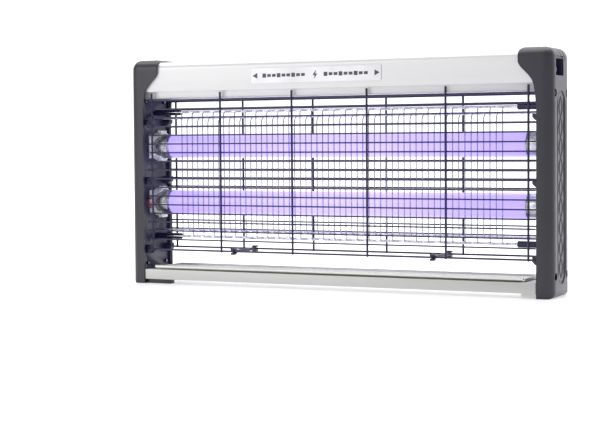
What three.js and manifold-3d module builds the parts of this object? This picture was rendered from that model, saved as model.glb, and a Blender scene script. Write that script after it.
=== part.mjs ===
// Electric bug zapper for indoor use: two 15 W ultraviolet tubes behind wire electrode grids, in a
// frame of aluminium extrusions and moulded end caps. Millimetres, +X to the object's right,
// +Y to its back, +Z up. The origin is the centre of the base, on the surface it stands on.
import * as THREE from "three";
import { mergeVertices } from "three/addons/utils/BufferGeometryUtils.js";
import Module from "manifold-3d";

const wasm = await Module();
wasm.setup();

// Driving dimensions
const WIDTH = 472;
const DEPTH = 60;
const HEIGHT = 241;
const GAP = 0.4; // air left between neighbouring pieces
const CAP_THICK = 16.8; // how much of the width each end cap's side walls take
const CAP_WALL = 2.2;
const CAP_FACE = 2.5; // thickness of the cap's outer face
const CAP_TOP_REACH = 18.4; // how far the cap's top runs in over the housing
const PLATE_THICK = 2;
const HOUSING_BOTTOM = 206.8;
const HOUSING_WALL = 1.2;
const COVER_BOTTOM = 199.3;
const RAIL_BOTTOM = 4.8;
const RAIL_TOP = 15.4;
const GUARD_Y = 24.8; // distance of each guard's plane from the middle
const GUARD_POST_PITCH = 84.1;
const GUARD_POSTS = 6;
const GUARD_BARS = 17; // evenly spaced bars, with one more at the bottom
const GUARD_TOP_BAR = 197.5;
const GUARD_BAR_PITCH = 9.352;
const GUARD_BOTTOM_BAR = 36.8;
const GUARD_POST_TOP = 206.3;
const GUARD_BAR_HALF = 216; // half the bars' length
const LAMP_Y = 4.5;
const LAMP_HEIGHTS = { upper: 148.2, lower: 87.4 };
const LAMP_RADIUS = 13;
const LAMP_GLASS_HALF = 201.7;
const LAMP_CAP_END = 218.7;
const LAMP_PIN_END = 225.8;
const PIN_SPACING = 12.7;
const GRID_FRONT_Y = -13; // plane of the electrode wires
const GRID_ROD_Y = 2.6;
const GRID_PITCH = 12.88;
const OUTER_ROD_HEIGHTS = [50, 185];
const INNER_ROD_HEIGHTS = [56.2, 178.8];
const SCREW_Y = 19;
const SCREW_HEIGHTS = { lower: 21, upper: 197 };
const INLET_Y = -5;
const INLET_HEIGHT = 222;

const CAP_EDGE = WIDTH / 2 - CAP_THICK; // inner edge of the cap's side walls
const PLATE_FACE = CAP_EDGE + 3; // the inner plate's face towards the lamps
const RUN_END = PLATE_FACE - 0.6; // where housing, cover and rail end
const HALF_DEPTH = DEPTH / 2;

// Finishes
const finish = (color, roughness, metalness = 0) =>
  new THREE.MeshStandardMaterial({ color, roughness, metalness });
const CHARCOAL = finish("#3a3a42", 0.5);
const ALUMINIUM = finish("#dcdcda", 0.35, 0.6);
const RAIL_SILVER = finish("#c4c5c0", 0.35, 0.7);
const TRAY_SILVER = finish("#d8d8d4", 0.4, 0.6);
const BLACK_PLASTIC = finish("#1c1a2a", 0.5);
const BLACK_WIRE = finish("#17152a", 0.4);
const STAINLESS = finish("#9c9ca6", 0.3, 0.9);
const WHITE_PLASTIC = finish("#eeeef0", 0.45);
const LAMP_GLASS = finish("#cbb8fb", 0.2);
const LAMP_METAL = finish("#b9bac2", 0.3, 0.9);
const BRASS = finish("#c8a95a", 0.3, 0.9);
const ZINC = finish("#8d8f94", 0.35, 0.9);
const RED_LEAD = finish("#b0203c", 0.5);
const WHITE_LEAD = finish("#d9d9d6", 0.5);
const LABEL_FILM = finish("#e2e2e2", 0.4);
const BOARD_GREEN = finish("#2c5a3a", 0.6);
const CORE_STEEL = finish("#5b5d63", 0.5, 0.7);
const COIL_TAPE = finish("#c9a227", 0.6);

// A closed geometry as a solid whose faces point out.
function solid(geometry) {
  const bare = geometry.index ? geometry.toNonIndexed() : geometry.clone();
  bare.deleteAttribute("normal");
  bare.deleteAttribute("uv");
  const merged = mergeVertices(bare, 1e-4);
  return new wasm.Manifold(
    new wasm.Mesh({
      numProp: 3,
      vertProperties: merged.attributes.position.array,
      triVerts: new Uint32Array(merged.index.array),
    }),
  );
}

// A solid as a named mesh.
function piece(name, shape, material) {
  const { vertProperties, triVerts, numProp } = shape.getMesh();
  const positions = new Float32Array((vertProperties.length / numProp) * 3);
  for (let i = 0; i < positions.length / 3; i++)
    positions.set(vertProperties.subarray(i * numProp, i * numProp + 3), i * 3);
  const geometry = new THREE.BufferGeometry()
    .setAttribute("position", new THREE.BufferAttribute(positions, 3))
    .setIndex(new THREE.BufferAttribute(triVerts, 1));
  geometry.computeVertexNormals();
  const mesh = new THREE.Mesh(geometry, material);
  mesh.name = name;
  return mesh;
}

const axes = (x, y, z) =>
  new THREE.Matrix4().makeBasis(
    new THREE.Vector3(...x),
    new THREE.Vector3(...y),
    new THREE.Vector3(...z),
  );
const YZ_ALONG_X = axes([0, 1, 0], [0, 0, 1], [1, 0, 0]);
const XZ_ALONG_Y = axes([1, 0, 0], [0, 0, 1], [0, -1, 0]);

function extruded(shape, depth, curveSegments = 4) {
  return new THREE.ExtrudeGeometry(shape, { depth, curveSegments, bevelEnabled: false });
}

// A (Y, Z) outline from x0 to x1.
function alongX(shape, x0, x1, curveSegments) {
  const geometry = extruded(shape, x1 - x0, curveSegments);
  return solid(geometry.applyMatrix4(YZ_ALONG_X).translate(x0, 0, 0));
}

// An (X, Z) outline from y0 to y1.
function alongY(shape, y0, y1, curveSegments) {
  const geometry = extruded(shape, y1 - y0, curveSegments);
  return solid(geometry.applyMatrix4(XZ_ALONG_Y).translate(0, y1, 0));
}

// An (X, Y) outline from z0 to z1.
function alongZ(shape, z0, z1, curveSegments) {
  return solid(extruded(shape, z1 - z0, curveSegments).translate(0, 0, z0));
}

function box(x0, x1, y0, y1, z0, z1) {
  const geometry = new THREE.BoxGeometry(x1 - x0, y1 - y0, z1 - z0);
  return solid(geometry.translate((x0 + x1) / 2, (y0 + y1) / 2, (z0 + z1) / 2));
}

// A cylinder along X.
function rod(x0, x1, y, z, radius, sides = 10) {
  const geometry = new THREE.CylinderGeometry(radius, radius, x1 - x0, sides);
  return solid(geometry.rotateZ(Math.PI / 2).translate((x0 + x1) / 2, y, z));
}

// A turned piece about X: each profile point is [x, radius].
function turned(profile, y, z, sides) {
  const points = profile.map(([x, radius]) => new THREE.Vector2(radius, x));
  const geometry = new THREE.LatheGeometry(points, sides);
  return solid(geometry.rotateZ(-Math.PI / 2).translate(0, y, z));
}

const polygon = (points) => new THREE.Shape(points.map(([a, b]) => new THREE.Vector2(a, b)));

// A rectangle with its own radius at each corner, counterclockwise from the lowest one.
function roundedBox(a0, b0, a1, b1, [r0, r1, r2, r3]) {
  const shape = new THREE.Shape();
  shape.moveTo(a0 + r0, b0);
  const corners = [
    [a1 - r1, b0 + r1, r1, -0.5],
    [a1 - r2, b1 - r2, r2, 0],
    [a0 + r3, b1 - r3, r3, 0.5],
    [a0 + r0, b0 + r0, r0, 1],
  ];
  for (const [a, b, radius, turn] of corners) {
    if (radius > 0) {
      shape.absarc(a, b, radius, turn * Math.PI, (turn + 0.5) * Math.PI, false);
    } else {
      shape.lineTo(a, b);
    }
  }
  return shape;
}

const joined = (shapes) => shapes.reduce((all, shape) => all.add(shape));
const cut = (shape, tools) => tools.reduce((rest, tool) => rest.subtract(tool), shape);

// ---- End caps: one moulding, used at both ends and turned half a turn about Z on the left ----

const CAP_TOP_RADIUS = 10.5;
const CAP_FOOT_RADIUS = 5.5;
const CAP_EDGE_RADIUS = 9;
const CAP_PLAN_RADIUS = 11;
const LUG_TIP = 190; // inner end of the foot lug
const RECESS_HALF = 14.5; // half the width of the shallow panel in the outer face
const INLET_HALF = [12.75, 8.25]; // half the window's depth and height

// The cap seen from the front: a plain edge below, sweeping inwards over the housing's end.
function capFrontOutline() {
  const tip = CAP_EDGE - CAP_TOP_REACH;
  const outer = WIDTH / 2;
  const shape = new THREE.Shape();
  shape.moveTo(CAP_EDGE, 0);
  shape.lineTo(outer - CAP_FOOT_RADIUS, 0);
  const foot = CAP_FOOT_RADIUS;
  shape.absarc(outer - foot, foot, foot, -Math.PI / 2, 0, false);
  const turnHeight = HEIGHT - CAP_TOP_RADIUS;
  shape.absarc(outer - CAP_TOP_RADIUS, turnHeight, CAP_TOP_RADIUS, 0, Math.PI / 2, false);
  shape.lineTo(tip + 3, HEIGHT);
  shape.quadraticCurveTo(tip, HEIGHT - 1, tip, HEIGHT - 6);
  shape.lineTo(tip, 229);
  shape.bezierCurveTo(tip, 221, CAP_EDGE - 9, 218, CAP_EDGE - 4.2, 209);
  shape.bezierCurveTo(CAP_EDGE - 2, 205, CAP_EDGE - 0.8, 195, CAP_EDGE, 180);
  return shape;
}

function capOuterBlock() {
  const sideRadii = [1, 1, CAP_EDGE_RADIUS, CAP_EDGE_RADIUS];
  const planRadii = [0, CAP_PLAN_RADIUS, CAP_PLAN_RADIUS, 0];
  const side = roundedBox(-HALF_DEPTH, 0, HALF_DEPTH, HEIGHT, sideRadii);
  const far = CAP_EDGE - CAP_TOP_REACH - 1;
  const plan = roundedBox(far, -HALF_DEPTH, WIDTH / 2, HALF_DEPTH, planRadii);
  return alongX(side, far, WIDTH / 2 + 1, 3)
    .intersect(alongZ(plan, -1, HEIGHT + 1, 4))
    .intersect(alongY(capFrontOutline(), -HALF_DEPTH - 1, HALF_DEPTH + 1, 4));
}

function capHollow() {
  const reach = HALF_DEPTH - CAP_WALL;
  const far = CAP_EDGE - CAP_TOP_REACH - 5;
  const top = HEIGHT - CAP_WALL;
  const side = roundedBox(-reach, CAP_WALL, reach, top, [0, 0, 7.5, 7.5]);
  const plan = roundedBox(far, -reach, WIDTH / 2 - CAP_FACE, reach, [0, 9, 9, 0]);
  const block = alongX(side, far, WIDTH / 2, 2).intersect(alongZ(plan, 0, HEIGHT, 2));
  const corner = box(228, WIDTH / 2, -reach, reach, HEIGHT - 9, HEIGHT);
  return block.subtract(corner);
}

// Two thin hanger grooves that follow the top outer corner.
function capGrooves() {
  const depth = 1.2;
  const inset = CAP_TOP_RADIUS - depth;
  const corner = roundedBox(200, 200, WIDTH / 2 - depth, HEIGHT - depth, [0, 0, inset, 0]);
  return [0, 11].map((y) => {
    const slot = box(222, WIDTH / 2 + 1, y - 0.8, y + 0.8, 230, HEIGHT + 1);
    return slot.subtract(alongY(corner, y - 1, y + 1, 4));
  });
}

const screwPlaces = () =>
  Object.entries(SCREW_HEIGHTS).flatMap(([level, z]) => [
    { level, side: "front", y: -SCREW_Y, z },
    { level, side: "back", y: SCREW_Y, z },
  ]);

function endCap(withInlet) {
  const bosses = screwPlaces().map(({ y, z }) => rod(226, WIDTH / 2 - 1.5, y, z, 5, 8));
  const lug = box(LUG_TIP, CAP_EDGE + 2, 15, 25, 0, 4.4);
  const body = joined([capOuterBlock().subtract(capHollow()), ...bosses, lug]);
  const recess = roundedBox(-RECESS_HALF, 12.5, RECESS_HALF, 199.5, Array(4).fill(RECESS_HALF));
  const cuts = [alongX(recess, WIDTH / 2 - 0.8, WIDTH / 2 + 1, 4), ...capGrooves()];
  for (const { y, z } of screwPlaces()) {
    cuts.push(rod(231.7, WIDTH / 2 + 1, y, z, 3.9));
    cuts.push(rod(225, 233, y, z, 2.1, 8));
  }
  if (withInlet) {
    const [deep, high] = INLET_HALF;
    const across = [INLET_Y - deep, INLET_Y + deep];
    cuts.push(box(230, WIDTH / 2 + 1, ...across, INLET_HEIGHT - high, INLET_HEIGHT + high));
  }
  return cut(body, cuts);
}

// ---- Inner plates: carry the lampholders, the insulators and the guard stops ----

const GUARD_STOPS = [[171, 177.3], [107, 115], [32, 41]];
const STEM_HALF = 9.5; // half the width of a lampholder's stem

function innerPlate() {
  const reach = HALF_DEPTH - CAP_WALL - 0.5;
  const low = 2.8;
  const high = 204.2;
  const sheet = box(PLATE_FACE, PLATE_FACE + PLATE_THICK, -reach, reach, low, high);
  const parts = [sheet];
  const cuts = [];
  for (const side of [-1, 1]) {
    const lip = [side * reach, side * (reach - 1.6)].sort((a, b) => a - b);
    parts.push(box(PLATE_FACE - 2.6, PLATE_FACE + 1, ...lip, 18, high));
    for (const [z0, z1] of GUARD_STOPS) {
      const outline = polygon([[CAP_EDGE - 6, z0 + 3], [CAP_EDGE - 3, z0], [PLATE_FACE + 1, z0],
        [PLATE_FACE + 1, z1], [CAP_EDGE - 6, z1]]);
      const span = [side * 16, side * 23.3].sort((a, b) => a - b);
      parts.push(alongY(outline, ...span));
    }
  }
  for (const z of Object.values(LAMP_HEIGHTS)) {
    const half = STEM_HALF + 0.5;
    cuts.push(box(220, 226, LAMP_Y - half, LAMP_Y + half, z - half, z + half));
  }
  for (const z of INNER_ROD_HEIGHTS)
    cuts.push(box(220, 226, GRID_ROD_Y - 1.7, GRID_ROD_Y + 1.7, z - 1.7, z + 1.7));
  for (const { y, z } of screwPlaces()) cuts.push(rod(218, 226, y, z, 2.1, 8));
  return cut(joined(parts), cuts);
}

// ---- Lampholders and lamps ----

const JAW_START = 212.3;
const JAW_RADII = [13.7, 15.4];

// A disc on a square stem, with an eared jaw over and under the lamp's base.
function lampHolder(z) {
  const [bore, outside] = JAW_RADII;
  const end = CAP_EDGE + 1;
  const section = [[JAW_START, bore], [JAW_START, outside], [end, outside], [end, bore], [JAW_START, bore]];
  const openings = box(JAW_START - 1, CAP_EDGE - 0.1, LAMP_Y - 20, LAMP_Y + 20, z - 8.5, z + 8.5);
  const jaws = turned(section, LAMP_Y, z, 16).subtract(openings);
  const disc = rod(CAP_EDGE, PLATE_FACE - 0.3, LAMP_Y, z, outside, 16);
  const across = [LAMP_Y - STEM_HALF, LAMP_Y + STEM_HALF];
  const stem = box(end, 228.4, ...across, z - STEM_HALF, z + STEM_HALF);
  const ears = [z - outside - 1.8, z + outside - 1].map((low) =>
    box(JAW_START + 1.2, JAW_START + 4.2, LAMP_Y - 7, LAMP_Y + 7, low, low + 2.8),
  );
  const socket = rod(CAP_EDGE - 1, 226.8, LAMP_Y, z, 8.5, 14);
  return joined([jaws, disc, stem, ...ears]).subtract(socket);
}

function lampGlass(z) {
  const half = LAMP_GLASS_HALF;
  const inner = LAMP_RADIUS - 1;
  const outside = [[-half, inner], [-half, LAMP_RADIUS], [half, LAMP_RADIUS], [half, inner]];
  return turned([...outside, outside[0]], LAMP_Y, z, 20);
}

function lampCap(z) {
  const start = LAMP_GLASS_HALF + 0.3;
  const wall = 0.8;
  const chamfer = 1.5;
  const bore = LAMP_RADIUS - wall;
  const inside = [[LAMP_CAP_END - wall, 0], [LAMP_CAP_END - wall, bore], [start, bore]];
  const outside = [[start, LAMP_RADIUS], [LAMP_CAP_END - chamfer, LAMP_RADIUS],
    [LAMP_CAP_END, LAMP_RADIUS - chamfer], [LAMP_CAP_END, 0]];
  const shell = turned([...inside, ...outside], LAMP_Y, z, 16);
  const pins = [z - PIN_SPACING / 2, z + PIN_SPACING / 2].map((pinZ) =>
    rod(LAMP_CAP_END - 0.5, LAMP_PIN_END, LAMP_Y, pinZ, 1.175, 6),
  );
  return joined([shell, ...pins]);
}

// ---- Electrode grids ----

// Wires bent back at both ends onto a pair of rods.
function electrodeGrid(count, firstX, [low, high], rodHalfLength) {
  const half = 0.6; // half a wire's thickness
  const rodHalf = 1.2;
  const root = GRID_ROD_Y - rodHalf / 2;
  const loop = (out) => [[root, high + out], [GRID_FRONT_Y - out, high + out], [GRID_FRONT_Y - out, low - out],
    [root, low - out]];
  const bracket = polygon([...loop(half), ...loop(-half).reverse()]);
  const wires = Array.from({ length: count }, (_, i) => {
    const x = firstX + i * GRID_PITCH;
    return alongX(bracket, x - half, x + half);
  });
  const across = [GRID_ROD_Y - rodHalf, GRID_ROD_Y + rodHalf];
  const rods = [low, high].map((z) => box(-rodHalfLength, rodHalfLength, ...across, z - rodHalf, z + rodHalf));
  return joined([...rods, ...wires]);
}

// A sleeve with a blind bore for the rod's end. The slotted ones show it from the front.
function insulator(side, z, slotted) {
  const inner = 190.9;
  const tip = 208.2;
  const sleeve = rod(inner, PLATE_FACE - 0.3, GRID_ROD_Y, z, 3.25, 10);
  const cuts = [rod(inner - 1, tip, GRID_ROD_Y, z, 2.2, 8)];
  if (slotted) cuts.push(box(202, 214, GRID_ROD_Y - 4, GRID_ROD_Y, z - 1.6, z + 1.6));
  const shape = cut(sleeve, cuts);
  return side < 0 ? mirrored(shape) : shape;
}

// The same solid on the other side of the X = 0 plane.
function mirrored(shape) {
  const { vertProperties, triVerts } = shape.getMesh();
  const positions = vertProperties.map((value, i) => (i % 3 === 0 ? -value : value));
  const faces = triVerts.map((_, i) => triVerts[i - (i % 3) + [0, 2, 1][i % 3]]);
  const mesh = new wasm.Mesh({ numProp: 3, vertProperties: positions, triVerts: faces });
  return new wasm.Manifold(mesh);
}

// ---- Guards: welded wire screens that keep fingers off the grids ----

function guard(side) {
  const postHalf = 1.1;
  const barHalf = 0.85;
  const low = GUARD_BOTTOM_BAR - 1.5;
  const across = [side * GUARD_Y - barHalf, side * GUARD_Y + barHalf];
  const wires = [];
  for (let i = 0; i < GUARD_POSTS; i++) {
    const x = (i - (GUARD_POSTS - 1) / 2) * GUARD_POST_PITCH;
    wires.push(box(x - postHalf, x + postHalf, ...across, low, GUARD_POST_TOP));
  }
  const heights = Array.from({ length: GUARD_BARS }, (_, j) => GUARD_TOP_BAR - j * GUARD_BAR_PITCH);
  for (const z of [...heights, GUARD_BOTTOM_BAR])
    wires.push(box(-GUARD_BAR_HALF, GUARD_BAR_HALF, ...across, z - barHalf, z + barHalf));
  return joined(wires);
}

// A strap between the two bottom bars, with a jaw on each.
function guardTie(x) {
  const z = GUARD_BOTTOM_BAR;
  const jaw = GUARD_Y + 2.6;
  const root = GUARD_Y - 3.6;
  const mouth = GUARD_Y - 1.5;
  const under = [[root, -1.5], [root, -3.4], [jaw, -3.4], [jaw, -1.3], [mouth, -1.3]];
  const over = under.map(([y, up]) => [y, -up]).reverse();
  const half = [...under, ...over];
  const back = half.map(([y, up]) => [y, z + up]);
  const front = half.map(([y, up]) => [-y, z - up]);
  return alongX(polygon([...back, ...front]), x - 2.2, x + 2.2);
}

// ---- Housing, cover, rail and tray ----

function topHousing() {
  const reach = 27.4;
  const top = HEIGHT - CAP_WALL - GAP;
  const radius = 8.5;
  const outer = roundedBox(-reach, HOUSING_BOTTOM, reach, top, [0, 0, radius, radius]);
  const wall = HOUSING_WALL;
  const inner = roundedBox(-reach + wall, HOUSING_BOTTOM + wall, reach - wall, top - wall,
    [0, 0, radius - wall, radius - wall]);
  const mouth = box(-RUN_END - 1, RUN_END + 1, -23.9, 23.9, HOUSING_BOTTOM - 1, HOUSING_BOTTOM + 2);
  return cut(alongX(outer, -RUN_END, RUN_END), [alongX(inner, -RUN_END - 1, RUN_END + 1), mouth]);
}

function innerCover() {
  const wall = 1.2;
  const side = 21.5;
  const flange = 25.6;
  const ledge = HOUSING_BOTTOM + HOUSING_WALL + GAP;
  const top = ledge + wall;
  const outside = [[side, COVER_BOTTOM], [side, ledge], [flange, ledge]];
  const inside = [[flange, top], [side - wall, top], [side - wall, COVER_BOTTOM + wall]];
  const right = [...outside, ...inside];
  const left = right.map(([y, z]) => [-y, z]).reverse();
  return alongX(polygon([...right, ...left]), -RUN_END + 0.5, RUN_END - 0.5);
}

function bottomRail() {
  const reach = 29.3;
  const wall = 1.5;
  const end = CAP_EDGE - GAP;
  const inner = reach - wall;
  const right = [[inner, RAIL_TOP - wall], [inner, RAIL_BOTTOM], [reach, RAIL_BOTTOM], [reach, RAIL_TOP]];
  const left = right.map(([y, z]) => [-y, z]).reverse();
  const outline = polygon([...right, ...left]);
  const tabs = [-1, 1].map((side) => {
    const span = [side * 20, side * 21.5].sort((a, b) => a - b);
    return box(-RUN_END, RUN_END, ...span, RAIL_BOTTOM + 1.5, RAIL_TOP - 0.5);
  });
  return joined([alongX(outline, -end, end), ...tabs]);
}

function collectingTray() {
  const half = 206.5;
  const sheet = 0.8;
  const floor = RAIL_TOP + GAP;
  const front = -29;
  const back = 26;
  const backWall = [[back, floor], [back, floor + 3], [back - sheet, floor + 3], [back - sheet, floor + sheet]];
  const lip = [[front + 3.4, floor + sheet], [front + 3.4, floor + 3.9], [front + 2.4, floor + 4.5],
    [front + 1, floor + 4.5], [front, floor + 3.6]];
  const profile = polygon([[front, floor], ...backWall, ...lip]);
  const ends = [-1, 1].map((side) => {
    const span = [side * half, side * (half - sheet)].sort((a, b) => a - b);
    return box(...span, front + 2, back - 0.4, floor, floor + 2.8);
  });
  return joined([alongX(profile, -half, half), ...ends]);
}

function frontLabel() {
  const face = -27.4 - 0.3;
  return alongY(roundedBox(-87, 213, 59, 228.5, [1.5, 1.5, 1.5, 1.5]), face - 0.4, face, 3);
}

// ---- Inlet, screws and what the housing holds ----

const INLET_PINS = [
  { name: "line", y: INLET_Y - 7, z: INLET_HEIGHT - 2 },
  { name: "neutral", y: INLET_Y + 7, z: INLET_HEIGHT - 2 },
  { name: "earth", y: INLET_Y, z: INLET_HEIGHT + 4 },
];

// A cup with a slot in its back wall for each pin.
function powerInlet() {
  const back = 216;
  const wall = 3.2;
  const mouth = WIDTH / 2 - CAP_FACE - 0.3;
  const cup = box(back, mouth, INLET_Y - 14, INLET_Y + 14, INLET_HEIGHT - 9.5, INLET_HEIGHT + 8.8);
  const across = [INLET_Y - 12.2, INLET_Y + 12.2];
  const well = box(back + wall, mouth + 1, ...across, INLET_HEIGHT - 7.9, INLET_HEIGHT + 7.9);
  const slots = INLET_PINS.map(({ y, z }) => box(back - 1, back + 4, y - 1.3, y + 1.3, z - 2.3, z + 2.3));
  return cut(cup, [well, ...slots]);
}

const inletPin = ({ y, z }) => box(210, 230, y - 1, y + 1, z - 2, z + 2);

function capScrew(y, z) {
  const shank = [[220.5, 0], [220.5, 1.3], [221.5, 1.7], [232, 1.7]];
  const head = [[232, 3.4], [233.6, 3.4], [234.4, 2.2], [234.4, 0]];
  const profile = [...shank, ...head];
  return turned(profile, y, z, 6);
}

const COMPARTMENT_FLOOR = COVER_BOTTOM + 1.2 + 0.3;

function lampBallast() {
  const can = alongX(roundedBox(-15, COMPARTMENT_FLOOR, 15, 229, [0, 0, 3, 3]), -185, -65, 2);
  return can.add(box(-195, -55, -12, 12, COMPARTMENT_FLOOR, COMPARTMENT_FLOOR + 1.2));
}

function transformerCore() {
  const block = box(-35, 15, -9, 9, COMPARTMENT_FLOOR, 232);
  return cut(block, [box(-26, -17, -10, 10, 208, 225), box(-3, 6, -10, 10, 208, 225)]);
}

function transformerCoil() {
  const bobbin = alongZ(roundedBox(-25.6, -15, 5.6, 15, [3, 3, 3, 3]), 208.5, 224.5, 2);
  return bobbin.subtract(box(-17.4, -2.6, -9.4, 9.4, 208, 225));
}

// An insulated lead along a smooth route.
function lead(points, radius, steps) {
  const section = new THREE.Shape();
  section.absarc(0, 0, radius, 0, 2 * Math.PI, false);
  const stops = points.map((p) => new THREE.Vector3(...p));
  const extrudePath = new THREE.CatmullRomCurve3(stops, false, "centripetal");
  const settings = { steps, curveSegments: 4, bevelEnabled: false, extrudePath };
  return solid(new THREE.ExtrudeGeometry(section, settings));
}

// From a lamp's ballast, over the inner plate's top and down behind it to the lampholder.
function lampLead(side, startX, y, z) {
  const overPlate = [[startX, y, 207], [side * 205, y, 207], [side * 222, y, 207.5], [side * 229.5, y, 203]];
  const x = side * 230.9;
  const down = [[x, y, 190], [x, y, z + 12], [side * 230.6, y, z + 4], [side * 229.8, y, z]];
  return lead([...overPlate, ...down], 0.95, 14);
}

// A short lead that loops out in front of the lower left holder.
function holderLeadLoop() {
  const x = -220.2;
  const z = LAMP_HEIGHTS.lower;
  const upper = [[x, -11.6, z + 5.5], [x, -16, z + 4], [x, -21, z - 0.5]];
  const lower = [[x, -18, z - 4.5], [x, -11.4, z - 6.5]];
  return lead([...upper, ...lower], 0.8, 10);
}

// From the inlet's line pin to the terminal block.
function mainsLead() {
  const fromPin = [[209.6, INLET_Y - 7, INLET_HEIGHT - 2], [201, -10, 217], [192, -5, 209.5]];
  const toBlock = [[185, -4, 207.2], [179.4, -4, 207]];
  return lead([...fromPin, ...toBlock], 1.3, 10);
}

// ---- Assembly ----

const group = new THREE.Group();
group.name = "bug_zapper";
const add = (name, shape, material) => group.add(piece(name, shape, material));

// The left end holds the same pieces as the right end, turned half a turn about Z.
const leftEnd = new THREE.Group();
leftEnd.rotation.z = Math.PI;
group.add(leftEnd);

add("top_housing", topHousing(), ALUMINIUM);
add("front_label", frontLabel(), LABEL_FILM);
add("inner_cover", innerCover(), ALUMINIUM);
add("bottom_rail", bottomRail(), RAIL_SILVER);
add("collecting_tray", collectingTray(), TRAY_SILVER);
add("end_cap_right", endCap(true), CHARCOAL);
leftEnd.add(piece("end_cap_left", endCap(false), CHARCOAL));
add("inner_plate_right", innerPlate(), BLACK_PLASTIC);
add("inner_plate_left", mirrored(innerPlate()), BLACK_PLASTIC);
for (const { level, side, y, z } of screwPlaces()) {
  add(`cap_screw_right_${level}_${side}`, capScrew(y, z), ZINC);
  leftEnd.add(piece(`cap_screw_left_${level}_${side}`, capScrew(-y, z), ZINC));
}

add("front_guard", guard(-1), BLACK_WIRE);
add("back_guard", guard(1), BLACK_WIRE);
add("guard_tie_left", guardTie(-112), BLACK_PLASTIC);
add("guard_tie_right", guardTie(112), BLACK_PLASTIC);

add("outer_grid", electrodeGrid(29, -180.2, OUTER_ROD_HEIGHTS, 207.6), STAINLESS);
add("inner_grid", electrodeGrid(28, -173.8, INNER_ROD_HEIGHTS, 226), STAINLESS);
OUTER_ROD_HEIGHTS.forEach((z, i) => {
  const level = ["lower", "upper"][i];
  add(`insulator_${level}_left`, insulator(-1, z, true), BLACK_PLASTIC);
  add(`insulator_${level}_right`, insulator(1, z, false), BLACK_PLASTIC);
});

for (const [level, z] of Object.entries(LAMP_HEIGHTS)) {
  add(`lamp_holder_${level}_right`, lampHolder(z), WHITE_PLASTIC);
  add(`lamp_holder_${level}_left`, mirrored(lampHolder(z)), WHITE_PLASTIC);
  add(`lamp_${level}_glass`, lampGlass(z), LAMP_GLASS);
  add(`lamp_${level}_cap_right`, lampCap(z), LAMP_METAL);
  add(`lamp_${level}_cap_left`, mirrored(lampCap(z)), LAMP_METAL);
}

add("power_inlet", powerInlet(), BLACK_PLASTIC);
for (const pin of INLET_PINS) add(`inlet_pin_${pin.name}`, inletPin(pin), BRASS);

add("lamp_ballast", lampBallast(), ZINC);
add("transformer_core", transformerCore(), CORE_STEEL);
add("transformer_coil", transformerCoil(), COIL_TAPE);
const boardUnderside = COMPARTMENT_FLOOR + 3;
const board = box(45, 130, -15, 15, boardUnderside, boardUnderside + 1.6);
add("multiplier_board", board, BOARD_GREEN);
const capacitorHeight = COMPARTMENT_FLOOR + 11.4;
add("capacitor_front", rod(55, 90, -7.5, capacitorHeight, 6.2, 12), COIL_TAPE);
add("capacitor_back", rod(55, 90, 7.5, capacitorHeight, 6.2, 12), COIL_TAPE);
const terminals = box(150, 178, -8, 8, COMPARTMENT_FLOOR, COMPARTMENT_FLOOR + 11);
add("terminal_block", terminals, WHITE_PLASTIC);

add("lamp_lead_upper_left", lampLead(-1, -196, 0, LAMP_HEIGHTS.upper), WHITE_LEAD);
add("lamp_lead_lower_left", lampLead(-1, -196, 9, LAMP_HEIGHTS.lower), RED_LEAD);
add("lamp_lead_upper_right", lampLead(1, 179, 0, LAMP_HEIGHTS.upper), WHITE_LEAD);
add("lamp_lead_lower_right", lampLead(1, 179, 6, LAMP_HEIGHTS.lower), RED_LEAD);
add("holder_lead_loop", holderLeadLoop(), RED_LEAD);
add("mains_lead", mainsLead(), WHITE_LEAD);

export default group;
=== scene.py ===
"""The finished looks of a twin-tube bug zapper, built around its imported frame.

Lengths are given in millimetres and turned to metres by MM. +X is the object's right, +Y its
back and +Z up, with the origin at the centre of the base.
"""

import math

import bmesh
import bpy
from mathutils import Matrix, Vector


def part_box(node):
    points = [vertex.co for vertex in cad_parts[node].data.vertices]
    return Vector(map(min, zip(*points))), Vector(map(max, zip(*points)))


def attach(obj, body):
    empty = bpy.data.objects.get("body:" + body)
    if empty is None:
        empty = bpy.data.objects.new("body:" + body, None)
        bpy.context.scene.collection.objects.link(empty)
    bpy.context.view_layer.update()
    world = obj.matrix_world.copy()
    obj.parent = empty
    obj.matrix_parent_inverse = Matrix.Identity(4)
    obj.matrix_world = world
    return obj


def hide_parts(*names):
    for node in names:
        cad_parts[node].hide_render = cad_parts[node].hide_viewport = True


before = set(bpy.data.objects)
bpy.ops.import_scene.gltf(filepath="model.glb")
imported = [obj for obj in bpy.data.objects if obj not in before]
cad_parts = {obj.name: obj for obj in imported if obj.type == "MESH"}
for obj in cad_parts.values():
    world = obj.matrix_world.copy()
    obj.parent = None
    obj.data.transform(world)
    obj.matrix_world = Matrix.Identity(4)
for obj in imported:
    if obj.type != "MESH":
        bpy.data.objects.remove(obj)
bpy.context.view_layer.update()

bl_info = {
    "name": "Bug Zapper",
    "version": (1, 0, 0),
    "blender": (4, 5, 0),
    "location": "View3D > Sidebar > Bug Zapper",
    "description": "Builds a twin-tube bug zapper piece by piece around its frame",
    "category": "Add Mesh",
}

MM = 0.001

# Places that the frame's boxes give, in millimetres.
def span(node, axis):
    """Where a CAD node starts and ends along an axis, in millimetres."""
    low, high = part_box(node)
    return low[axis] / MM, high[axis] / MM


X, Y, Z = 0, 1, 2
WIDTH_HALF = span("end_cap_right", X)[1]
DEPTH_HALF = span("end_cap_right", Y)[1]
HEIGHT = span("end_cap_right", Z)[1]
LUG_TIP = span("end_cap_right", X)[0]  # inner end of the cap's foot lug
CAP_EDGE = WIDTH_HALF - 16.8  # inner edge of the cap's side walls
CAP_TIP = CAP_EDGE - 18.4  # inner end of the cap's top


def middle(node, axis):
    low, high = span(node, axis)
    return (low + high) / 2


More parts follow.
